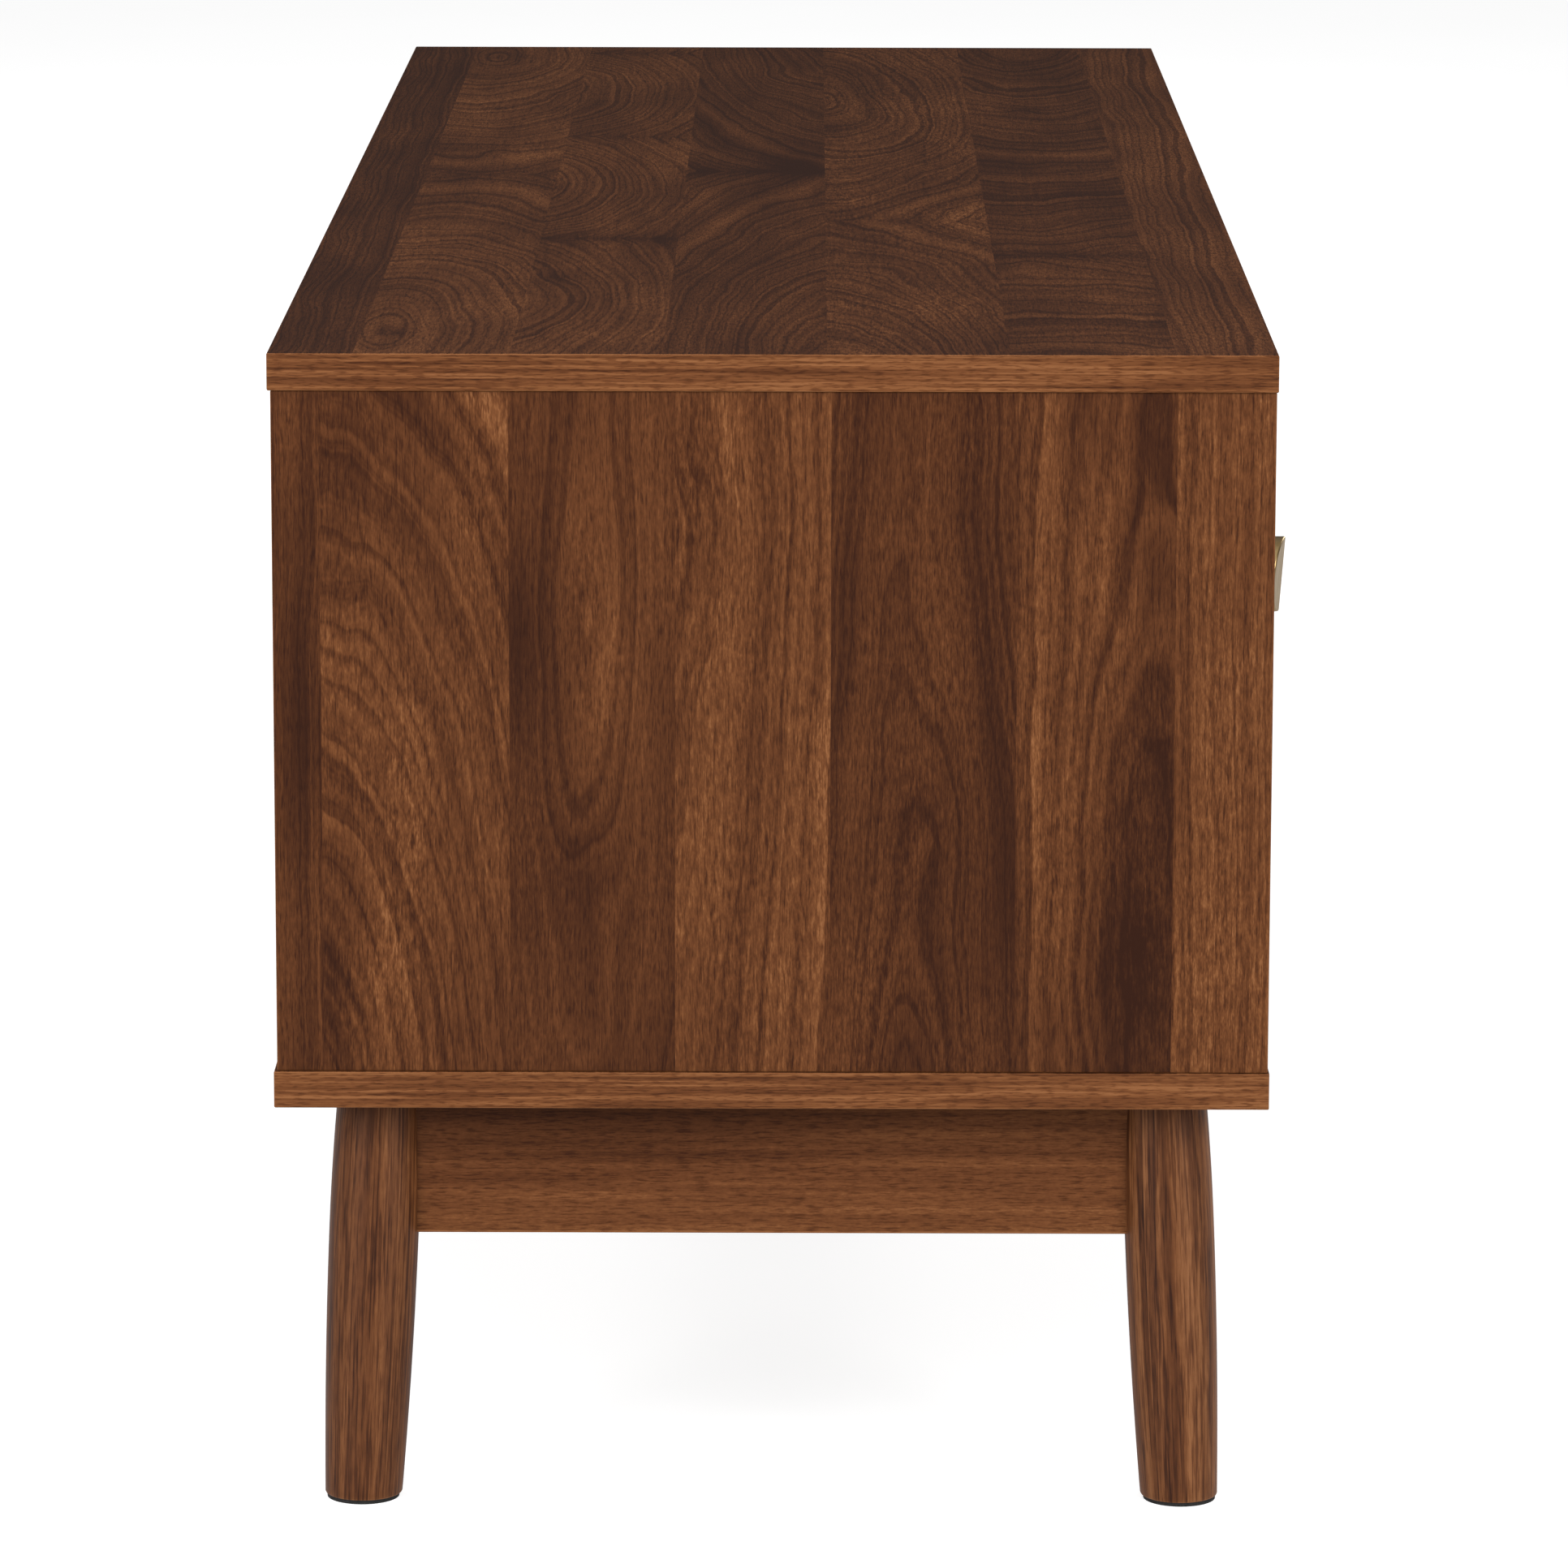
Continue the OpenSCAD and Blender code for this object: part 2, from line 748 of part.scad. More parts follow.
module strike_plate() {
    difference() {
        slab([catch_x - strike_half.x, rear_of_fronts, catch_z - strike_half.y],
             [catch_x + strike_half.x, rear_of_fronts + strike, catch_z + strike_half.y]);
        rod_y([catch_x, rear_of_fronts - eps, catch_z], screw_radius + fit, strike + 2 * eps);
        translate([catch_x, rear_of_fronts + strike, catch_z]) rotate([-90, 0, 0]) countersink();
    }
}

module left_strike_plate() { color(steel) on_side(-1) strike_plate(); }
module right_strike_plate() { color(steel) on_side(1) strike_plate(); }

module door_screws() {
    at_hinges(1) for (t = [-1, 1])
        translate([cup_screw_x, board + flange, t * cup_screw_z]) rotate([-90, 0, 0])
            pan_screw(screw_length - spare, screw_radius);
    translate([door_pull_x, face_y, door_pull_z]) pull_fixing();
    translate([catch_x, rear_of_fronts + strike, catch_z]) rotate([-90, 0, 0])
        flat_screw(strike_screw_in + strike - spare, screw_radius);
}

module left_door_screws() { color(steel) mirror([1, 0, 0]) door_screws(); }
module right_door_screws() { color(steel) door_screws(); }

// ---------- Drawers ----------
// Each module takes z, the bottom of the drawer's front

module drawer_front(z) {
    inner = box_half - box_board + base_groove;
    difference() {
        slab([-front_width / 2, face_y, z],
             [front_width / 2, rear_of_fronts, z + drawer_front_height]);
        translate([0, face_y, z + drawer_pull_rise]) rotate([0, 90, 0]) pull_holes();
        slab([-inner, rear_of_fronts - base_groove, z + box_rise + base_rise - groove_slack],
             [inner, rear_of_fronts + eps, z + box_rise + base_rise + base_board + groove_slack]);
        box_dowel_holes(z, rear_of_fronts - box_dowel_half - spare);
    }
}

module box_dowel_holes(z, from) {
    for (s = [-1, 1]) for (rise = box_dowel_rises)
        rod_y([s * (box_half - box_board / 2), from, z + rise],
              box_dowel_radius + fit, box_dowel_half + spare + eps);
}

// The side on the right; the left one is its mirror image
module drawer_side(z) {
    rear = rear_of_fronts + box_depth;
    difference() {
        slab([box_half - box_board, rear_of_fronts, z + box_rise],
             [box_half, rear, z + box_rise + box_height]);
        slab([box_half - box_board - eps, rear_of_fronts - eps,
              z + box_rise + base_rise - groove_slack],
             [box_half - box_board + base_groove, rear + eps,
              z + box_rise + base_rise + base_board + groove_slack]);
        box_dowel_holes(z, rear_of_fronts - eps);
        for (rise = corner_screw_rises)
            rod_x([box_half - box_board - eps, rear - box_board / 2, z + rise],
                  screw_radius + fit, box_board + 2 * eps);
        for (y = rail_screws)
            rod_x([box_half + rail_steel - rail_screw_length, slide_front + y, z + slide_rise],
                  screw_radius + fit, rail_screw_length);
    }
}

module drawer_back(z) {
    rear = rear_of_fronts + box_depth;
    inner = box_half - box_board;
    deep = corner_screw_length - box_board;
    difference() {
        slab([-inner, rear - box_board, z + box_rise + base_rise + base_board + groove_slack],
             [inner, rear, z + box_rise + box_height]);
        for (s = [-1, 1]) for (rise = corner_screw_rises)
            rod_x([s > 0 ? inner - deep : -inner - eps, rear - box_board / 2, z + rise],
                  screw_radius + fit, deep + eps);
    }
}

module drawer_bottom(z) {
    inner = box_half - box_board + base_groove - 0.4;
    slab([-inner, rear_of_fronts - base_groove + 0.4, z + box_rise + base_rise],
         [inner, rear_of_fronts + box_depth, z + box_rise + base_rise + base_board]);
}

module drawer_pull(z) {
    translate([0, face_y, z + drawer_pull_rise]) rotate([0, 90, 0]) half_moon_pull(0);
}

module drawer_fasteners(z) {
    rear = rear_of_fronts + box_depth;
    color(steel) {
        translate([0, face_y, z + drawer_pull_rise]) rotate([0, 90, 0]) pull_fixing();
        both_sides() {
            for (rise = corner_screw_rises)
                translate([box_half, rear - box_board / 2, z + rise]) rotate([0, 90, 0])
                    pan_screw(corner_screw_length - spare, screw_radius);
            for (y = rail_screws)
                translate([box_half + rail_steel, slide_front + y, z + slide_rise]) rotate([0, 90, 0])
                    flat_screw(rail_screw_length - spare, screw_radius);
        }
    }
    color(beech) both_sides() for (rise = box_dowel_rises)
        rod_y([box_half - box_board / 2, rear_of_fronts - box_dowel_half, z + rise],
              box_dowel_radius, 2 * box_dowel_half);
}

module upper_drawer_front() { color(walnut) drawer_front(drawer_zs[1]); }
module upper_drawer_left_side() { color(walnut) on_side(-1) drawer_side(drawer_zs[1]); }
module upper_drawer_right_side() { color(walnut) on_side(1) drawer_side(drawer_zs[1]); }
module upper_drawer_back() { color(walnut) drawer_back(drawer_zs[1]); }
module upper_drawer_bottom() { color(walnut) drawer_bottom(drawer_zs[1]); }
module upper_drawer_pull() { color(brass) drawer_pull(drawer_zs[1]); }
module upper_drawer_fasteners() { drawer_fasteners(drawer_zs[1]); }
module lower_drawer_front() { color(walnut) drawer_front(drawer_zs[0]); }
module lower_drawer_left_side() { color(walnut) on_side(-1) drawer_side(drawer_zs[0]); }
module lower_drawer_right_side() { color(walnut) on_side(1) drawer_side(drawer_zs[0]); }
module lower_drawer_back() { color(walnut) drawer_back(drawer_zs[0]); }
module lower_drawer_bottom() { color(walnut) drawer_bottom(drawer_zs[0]); }
module lower_drawer_pull() { color(brass) drawer_pull(drawer_zs[0]); }
module lower_drawer_fasteners() { drawer_fasteners(drawer_zs[0]); }

// ---------- Drawer slides ----------

// Frame at a drawer's two slides: X from the partition to the drawer, Y back from the rail's front
module at_slides(z) {
    both_sides() translate([partition_in, slide_front, z + slide_rise]) mirror([1, 0, 0]) children();
}

// Channel along Y with its web from x to x + rail_steel, flanges out to far and lips at their ends
module channel(web_x, near, far, half_height, lip_x, lip_low, lip_high) {
    slab([web_x, 0, -half_height], [web_x + rail_steel, slide_length, half_height]);
    for (m = [0, 1]) mirror([0, 0, m]) {
        slab([near, 0, half_height - rail_steel], [far, slide_length, half_height]);
        slab([lip_x, 0, lip_low], [lip_x + lip_steel, slide_length, lip_high]);
    }
}

module case_rail() {
    difference() {
        channel(0, 0, case_rail_deep, case_rail_half,
                case_rail_deep, case_rail_half - rail_steel - rail_lip, case_rail_half);
        for (y = rail_screws) translate([rail_steel, y, 0]) rotate([0, 90, 0]) countersink();
    }
}

module case_slide_rails() { color(steel) for (z = drawer_zs) at_slides(z) case_rail(); }

module box_rail() {
    near = slide_width - box_rail_deep;
    difference() {
        channel(slide_width - rail_steel, near, slide_width, box_rail_half,
                near - lip_steel, box_rail_half - rail_steel, box_rail_half + rail_lip);
        for (y = rail_screws)
            translate([slide_width - rail_steel, y, 0]) rotate([0, -90, 0]) countersink();
    }
}

module upper_drawer_rails() { color(steel) at_slides(drawer_zs[1]) box_rail(); }
module lower_drawer_rails() { color(steel) at_slides(drawer_zs[0]) box_rail(); }

// Ball cage with its balls, half way back along the closed slide
module ball_cage() {
    balls = [for (k = [0:3]) cage_from + ball_from + k * ball_step];
    ball_hole = ball_radius + 0.1;
    difference() {
        union() {
            slab([cage_in, cage_from, -ball_z],
                 [cage_in + cage_steel, cage_from + cage_length, ball_z]);
            for (m = [0, 1]) mirror([0, 0, m])
                slab([cage_in, cage_from, ball_z - cage_steel / 2],
                     [cage_in + cage_deep, cage_from + cage_length, ball_z + cage_steel / 2]);
        }
        for (y = balls) rod_z([ball_x, y, -case_rail_half], ball_hole, 2 * case_rail_half);
    }
    for (y = balls) for (t = [-1, 1]) translate([ball_x, y, t * ball_z]) sphere(r = ball_radius);
}

module upper_ball_cages() { color(dark_steel) at_slides(drawer_zs[1]) ball_cage(); }
module lower_ball_cages() { color(dark_steel) at_slides(drawer_zs[0]) ball_cage(); }

// ---------- Screws that stay with the cabinet ----------

module cabinet_screws() {
    color(steel) {
        at_brackets() {
            translate([-bracket_steel, 0, -bracket_screw_at]) rotate([0, -90, 0])
                pan_screw(screw_length - spare, screw_radius);
            translate([-bracket_screw_at, 0, -bracket_steel]) rotate([180, 0, 0])
                pan_screw(screw_length - spare, screw_radius);
        }
        for (side = [-1, 1]) at_hinges(side) {
            for (t = [-1, 1]) translate([plate, plate_screw_y, t * plate_screw_z]) rotate([0, 90, 0])
                pan_screw(screw_length - spare, screw_radius);
            translate([plate + strap, arm_screw_y, 0]) rotate([0, 90, 0])
                pan_screw(plate + strap - 0.2, screw_radius);
        }
        both_sides() for (t = [-1, 1])
            translate([partition_out + catch_width, catch_screw_y, catch_z + t * catch_screw_z])
                rotate([0, 90, 0]) pan_screw(catch_width + catch_screw_in - spare, screw_radius);
        for (z = drawer_zs) at_slides(z) for (y = rail_screws)
            translate([rail_steel, y, 0]) rotate([0, 90, 0])
                flat_screw(rail_screw_length - spare, screw_radius);
    }
}

top_panel();
bottom_panel();
left_side_panel();
right_side_panel();
left_partition();
right_partition();
back_panel();
left_shelf();
right_shelf();
shelf_pins();
case_dowels();
cam_bolts();
cam_locks();
front_left_leg();
front_right_leg();
rear_left_leg();
rear_right_leg();
foot_pads();
hanger_bolts();
insert_nuts();
left_end_apron();
right_end_apron();
front_apron();
rear_apron();
apron_brackets();
cabinet_screws();
hinge_plates();
hinge_arms();
hinge_pins();
magnetic_catches();
case_slide_rails();
left_door();
left_door_pull();
left_hinge_cups();
left_strike_plate();
left_door_screws();
right_door();
right_door_pull();
right_hinge_cups();
right_strike_plate();
right_door_screws();
upper_drawer_front();
upper_drawer_left_side();
upper_drawer_right_side();
upper_drawer_back();
upper_drawer_bottom();
upper_drawer_pull();
upper_drawer_rails();
upper_drawer_fasteners();
upper_ball_cages();
lower_drawer_front();
lower_drawer_left_side();
lower_drawer_right_side();
lower_drawer_back();
lower_drawer_bottom();
lower_drawer_pull();
lower_drawer_rails();
lower_drawer_fasteners();
lower_ball_cages();
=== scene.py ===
# A low walnut-look sideboard on splayed legs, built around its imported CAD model.
# Units are metres; X runs along the length, the fronts face -Y, the floor is Z = 0.
import json
import math
import random

import bmesh
import bpy
from mathutils import Matrix, Vector


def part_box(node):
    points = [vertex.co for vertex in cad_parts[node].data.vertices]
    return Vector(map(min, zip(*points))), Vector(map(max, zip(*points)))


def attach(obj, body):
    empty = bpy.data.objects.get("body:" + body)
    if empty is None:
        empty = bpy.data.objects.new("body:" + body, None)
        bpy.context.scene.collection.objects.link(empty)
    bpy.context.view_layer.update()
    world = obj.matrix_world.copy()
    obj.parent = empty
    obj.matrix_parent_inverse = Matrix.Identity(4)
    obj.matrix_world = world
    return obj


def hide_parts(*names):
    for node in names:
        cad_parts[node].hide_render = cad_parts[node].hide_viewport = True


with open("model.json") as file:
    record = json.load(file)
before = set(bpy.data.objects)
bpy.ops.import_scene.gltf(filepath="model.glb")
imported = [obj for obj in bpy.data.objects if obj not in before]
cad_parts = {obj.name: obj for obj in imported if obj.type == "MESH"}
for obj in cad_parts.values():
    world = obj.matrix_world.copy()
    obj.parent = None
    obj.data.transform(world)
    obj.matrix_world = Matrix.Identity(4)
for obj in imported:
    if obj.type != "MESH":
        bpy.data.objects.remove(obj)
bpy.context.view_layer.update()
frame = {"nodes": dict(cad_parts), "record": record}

NODES = frame["nodes"]
MM = 0.001
TOUCHING = 0.01 * MM

# The frame's depth runs over the pulls, so the case's own middle lies a little to the rear.
CASE_MIDDLE_Y = 13.7 * MM
LEG_TOP_RADIUS = 16.65 * MM
LEG_BELLY_RADIUS = 18.3 * MM
LEG_FOOT_RADIUS = 15.8 * MM
LEG_BELLY_DROP = 60 * MM
LEG_SPLAY = math.radians(2.5)
LEG_RINGS = 40
LEG_SIDES = 72
LEG_FOOT_BEVEL = 0.7 * MM
WRAP_JOINT_TURN = math.radians(35)
WRAP_GIRTH_RADIUS = 17.5 * MM
WRAP_JOINT_HALF_WIDTH = 0.35 * MM
APRON_RIM = 0.9 * MM
PORE_DEPTH = 0.2 * MM

BOARD_EASE = 0.6 * MM
PULL_EASE = 0.8 * MM
PLATE_EASE = 0.3 * MM


# ---------- Camera, floor and light ----------

CAMERA_PLACE = (-3.690, -0.0008, 0.9115)
CAMERA_PITCH, CAMERA_YAW, CAMERA_ROLL = math.radians(11.10), math.radians(0.18), math.radians(0.115)


def make_camera():
    """A long lens that looks along the length from beyond the left-hand end, a little from above."""
    data = bpy.data.cameras.new("camera")
    data.sensor_width = 36
    data.lens = 181.3
    data.clip_end = 50
    camera = bpy.data.objects.new("camera", data)
    bpy.context.scene.collection.objects.link(camera)
    camera.location = CAMERA_PLACE
    camera.rotation_euler = (Matrix.Rotation(CAMERA_YAW - math.pi / 2, 3, "Z")
                             @ Matrix.Rotation(math.pi / 2 - CAMERA_PITCH, 3, "X")
                             @ Matrix.Rotation(CAMERA_ROLL, 3, "Z")).to_euler()
    bpy.context.scene.camera = camera


def make_area_light(name, place, target, size, power):
    data = bpy.data.lights.new(name, "AREA")
    data.shape = "RECTANGLE"
    data.size, data.size_y = size
    data.energy = power
    lamp = bpy.data.objects.new(name, data)
    bpy.context.scene.collection.objects.link(lamp)
    lamp.location = place
    lamp.rotation_euler = (Vector(target) - Vector(place)).to_track_quat("-Z", "Y").to_euler()


def make_world():
    """Dim near the horizon and brighter overhead, so the top board doesn't mirror a white wall.

    Behind the object the camera itself sees a pale backdrop.
    """
    world = bpy.data.worlds.new("studio")
    bpy.context.scene.world = world
    world.use_nodes = True
    tree = world.node_tree
    background = tree.nodes["Background"]
    place = tree.nodes.new("ShaderNodeTexCoord")
    split = tree.nodes.new("ShaderNodeSeparateXYZ")
    ramp = tree.nodes.new("ShaderNodeValToRGB")
    horizon, low_sky, overhead, backdrop = 0.03, 0.06, 0.50, 0.93
    ramp.color_ramp.elements[0].color = (horizon, horizon, horizon, 1)
    ramp.color_ramp.elements[1].color = (overhead, overhead, overhead, 1)
    ramp.color_ramp.elements.new(0.3).color = (low_sky, low_sky, low_sky, 1)
    seen = tree.nodes.new("ShaderNodeLightPath")
    mix = tree.nodes.new("ShaderNodeMix")
    mix.data_type = "RGBA"
    mix.inputs["B"].default_value = (backdrop, backdrop, backdrop, 1)
    tree.links.new(place.outputs["Generated"], split.inputs[0])
    tree.links.new(split.outputs["Z"], ramp.inputs[0])
    tree.links.new(seen.outputs["Is Camera Ray"], mix.inputs["Factor"])
    tree.links.new(ramp.outputs["Color"], mix.inputs["A"])
    tree.links.new(mix.outputs["Result"], background.inputs["Color"])


def make_studio():
    scene = bpy.context.scene
    scene.view_settings.view_transform = "Standard"
    make_world()
    # four tall softboxes stand off the corners, and a weak one hangs over the left-hand end
    left_power, right_power, overhead_power = 121, 54, 19
    for side in (-1, 1):
        for end, power in ((-1, left_power), (1, right_power)):
            place = (end * 3.3, side * 2.7, 1.75)
            make_area_light(f"softbox_{end}_{side}", place, (end * 0.4, 0, 0.3), (1.8, 1.8), power)
    make_area_light("overhead_softbox", (-1.2, 0, 2.6), (-0.5, 0, 0.45), (1.6, 1.6), overhead_power)
    floor_size = 60
    bpy.ops.mesh.primitive_plane_add(size=floor_size, location=(0, 0, 0))
    floor = bpy.context.object
    floor.name = "floor"
    floor.data.materials.append(floor_material())


# ---------- Shader graphs ----------

class Graph:
    """Builds one material's node tree. Each method returns an output socket."""

    def __init__(self, name):
        self.material = bpy.data.materials.new(name)
        self.material.use_nodes = True
        self.tree = self.material.node_tree
        self.shader = self.tree.nodes["Principled BSDF"]

    def put(self, socket, value):
        if isinstance(value, bpy.types.NodeSocket):
            self.tree.links.new(value, socket)
        elif value is not None:
            socket.default_value = value

    def set(self, **inputs):
        """Sets or links the shader's own inputs, such as base_color=..."""
        for key, value in inputs.items():
            name = {"base_color": "Base Color", "specular": "Specular IOR Level",
                    "emission": "Emission Color",
                    "emission_strength": "Emission Strength"}.get(key, key.capitalize())
            if name in ("Base Color", "Emission Color") and isinstance(value, tuple):
                value = (*value, 1) if len(value) == 3 else value
            self.put(self.shader.inputs[name], value)

    def math(self, operation, a, b=None, c=None):
        node = self.tree.nodes.new("ShaderNodeMath")
        node.operation = operation
        for socket, value in zip(node.inputs, (a, b, c)):
            self.put(socket, value)
        return node.outputs[0]

    def add(self, a, b):
        return self.math("ADD", a, b)

    def sub(self, a, b):
        return self.math("SUBTRACT", a, b)

    def mul(self, a, b):
        return self.math("MULTIPLY", a, b)

    def vector(self, x, y, z):
        node = self.tree.nodes.new("ShaderNodeCombineXYZ")
        for socket, value in zip(node.inputs, (x, y, z)):
            self.put(socket, value)
        return node.outputs[0]

    def vector_add(self, a, b):
        node = self.tree.nodes.new("ShaderNodeVectorMath")
        for socket, value in zip(node.inputs, (a, b)):
            self.put(socket, value)
        return node.outputs[0]

    def coordinates(self, output="Object"):
        node = self.tree.nodes.new("ShaderNodeTexCoord")
        split = self.tree.nodes.new("ShaderNodeSeparateXYZ")
        self.put(split.inputs[0], node.outputs[output])
        return dict(zip("XYZ", split.outputs))

    def noise(self, place, scale=1.0, detail=2.0, roughness=0.5, flat=False):
        """Noise about 0.5; place is a single value when flat and a vector otherwise."""
        node = self.tree.nodes.new("ShaderNodeTexNoise")
        node.noise_dimensions = "1D" if flat else "3D"
        self.put(node.inputs["W" if flat else "Vector"], place)
        node.inputs["Scale"].default_value = scale
        node.inputs["Detail"].default_value = detail
        node.inputs["Roughness"].default_value = roughness
        return node.outputs["Fac"]

    def remap(self, value, low, high, to_low=0.0, to_high=1.0):
        node = self.tree.nodes.new("ShaderNodeMapRange")
        for socket, item in zip(node.inputs, (value, low, high, to_low, to_high)):
            self.put(socket, item)
        return node.outputs[0]

    def ramp(self, value, stops):
        node = self.tree.nodes.new("ShaderNodeValToRGB")
        ramp = node.color_ramp
        while len(ramp.elements) < len(stops):
            ramp.elements.new(1.0)
        for element, (position, colour) in zip(ramp.elements, stops):
            element.position = position
            element.color = (*colour, 1)
        self.put(node.inputs[0], value)
        return node.outputs["Color"]

    def bump(self, height, strength, distance):
        node = self.tree.nodes.new("ShaderNodeBump")
        node.inputs["Strength"].default_value = strength
        node.inputs["Distance"].default_value = distance
        self.put(node.inputs["Height"], height)
        self.put(self.shader.inputs["Normal"], node.outputs[0])


# ---------- Wood ----------

# Walnut from its darkest to its lightest figure.
WALNUT = [
    (0.00, (0.028, 0.0090, 0.0044)),
    (0.20, (0.042, 0.0135, 0.0056)),
    (0.40, (0.066, 0.0216, 0.0077)),
    (0.60, (0.101, 0.0345, 0.0118)),
    (0.80, (0.150, 0.0545, 0.0185)),
    (1.00, (0.225, 0.0910, 0.0340)),
]

# Each printed board is a row of planks, laid out from one long edge. Sizes are in mm. A plank has rings
# about an eye, a point where the saw passed nearest the tree's pith: they close into ovals round it and run
# straight far from it. Beyond "turn" from the eye the print is mirrored, which leaves a feathered bar there.
PLANK_KEYS = ("start", "tone", "fleck", "centre", "eye", "slope", "soft", "turn", "bar", "pitch")
SIDE_PLANKS = [
    (0, -0.13, 0.7, -30, 120, 0.10, 4, 900, 0.0, 1.2),
    (19, 0.05, 1.4, 10, 330, 0.34, 0, 900, 0.0, 0.9),
    (94, -0.14, 0.8, 127, 92, 0.13, 0, 900, 0.0, 0.6),
    (160, 0.05, 1.2, 156, 55, 0.42, 9, 900, 0.0, 0.9),
    (222, -0.15, 1.1, 258, 330, 0.16, 2, 900, 0.0, 1.3),
    (296, -0.06, 1.0, 346, 223, 0.30, 9, 900, 0.0, 1.0),
    (359, 0.12, 1.3, 450, 100, 0.05, 3, 900, 0.0, 1.1),
]
TOP_PLANKS = [
    (0, -0.16, 0.7, -60, 300, 0.08, 3, 900, 0.0, 1.2),
    (34, 0.08, 1.0, 46, 65, 0.24, 0, 540, 0.1, 1.1),
    (96, 0.05, 0.9, 82, 165, 0.27, 0, 200, 0.30, 1.1),
    (156.5, -0.08, 0.9, 238, -80, 0.15, 0, 700, 0.26, 1.3),
    (221.5, 0.02, 1.3, 222, -70, 0.20, 0, 500, 0.05, 1.3),
    (294, -0.06, 0.9, 326, 1250, 0.22, 0, 940, 0.22, 1.0),
    (359.5, 0.03, 1.1, 470, 0, 0.06, 3, 1500, 0.0, 1.0),
]

# Knots and clouds, in mm: (plank, across, along, half width, half length, darkness, ring bulge)
SIDE_KNOTS = [
    (5, 345, 223, 2.2, 5, 0.40, 0),
    (5, 347, 230, 17, 50, 0.52, 8),
    (5, 353, 150, 9, 34, 0.26, 0),
    (2, 98, 115, 12, 70, 0.26, 0),
    (2, 130, 80, 12, 80, -0.24, 0),
    (2, 122, 200, 26, 26, 0.22, 6),
    (3, 166, 28, 8, 26, 0.20, 6),
    (1, 24, 20, 20, 34, 0.20, 0),
    (1, 24, 235, 9, 40, 0.24, 0),
    (4, 286, 150, 12, 150, 0.14, 0),
    (0, 8, 130, 9, 70, 0.20, 0),
]
TOP_KNOTS = [
    (1, 47, 62, 5, 14, 0.26, 5),
    (1, 64, 690, 6, 24, 0.18, 5),
    (1, 60, 1140, 6, 24, 0.18, 5),
    (2, 104, 232, 9, 20, 0.24, 5),
    (3, 206, 640, 22, 46, 0.22, 8),
    (5, 322, 884, 9, 22, 0.22, 5),
    (4, 247, 980, 16, 90, 0.16, 8),
]


# How strongly the broad bands and the thin lines of the rings show.
PLAIN_FIGURE = (0.66, 0.34)
FINE_FIGURE = (0.46, 0.50)
NARROWEST_PLANK = 12


def random_planks(width, length, seed):
    """A print of the same kind for a board of another size, in mm."""
    draw = random.Random(seed).uniform
    planks, start = [], 0
    while start < width - NARROWEST_PLANK:
        tone, fleck = draw(-0.15, 0.13), draw(0.5, 1.1)
        centre, eye = start + draw(-20, 80), draw(-0.2, 1.2) * length
        slope, soft = draw(0.08, 0.40), draw(1, 5)
        turn, bar, pitch = draw(0.6, 1.4) * length, draw(0.0, 0.25), draw(0.8, 1.3)
        planks.append((start, tone, fleck, centre, eye, slope, soft, turn, bar, pitch))
        start += draw(48, 78)
    return planks


def plank_values(g, across, planks, seed):
    """Looks up each plank's values at a place across the board."""
    draw = random.Random(seed)
    rows = [dict(zip(PLANK_KEYS, plank), phase=draw.uniform(0, 60)) for plank in planks]
    for row in rows:
        for key in ("start", "centre", "eye", "turn"):
            row[key] *= MM
    steps = [g.math("GREATER_THAN", across, row["start"]) for row in rows[1:]]
    values = {}
    for key in (*PLANK_KEYS[1:], "phase"):
        value = rows[0][key]
        for step, before, after in zip(steps, rows, rows[1:]):
            if after[key] != before[key]:
                value = g.math("MULTIPLY_ADD", step, after[key] - before[key], value)
        values[key] = value
    return values


def knot_shades(g, across, along, planks, knots):
    """Darkness of the knots and the distance by which they push the rings aside."""
    past_the_board = 9.0
    darkness, bulge = 0.0, 0.0
    for plank, knot_across, knot_along, half_width, half_length, dark, push in knots:
        start = planks[plank][0] * MM
        end = planks[plank + 1][0] * MM if plank + 1 < len(planks) else past_the_board
        aside = g.mul(g.sub(across, knot_across * MM), 1 / (half_width * MM))
        ahead = g.mul(g.sub(along, knot_along * MM), 1 / (half_length * MM))
        far = g.math("SQRT", g.add(g.mul(aside, aside), g.mul(ahead, ahead)))
        near = g.math("EXPONENT", g.mul(g.math("POWER", far, 1.6), -1.0))
        inside = g.mul(g.math("GREATER_THAN", across, start), g.math("LESS_THAN", across, end))
        near = g.mul(near, inside)
        darkness = g.math("MULTIPLY_ADD", near, dark, darkness)
        if push:
            bulge = g.math("MULTIPLY_ADD", near, push * MM, bulge)
    return darkness, bulge


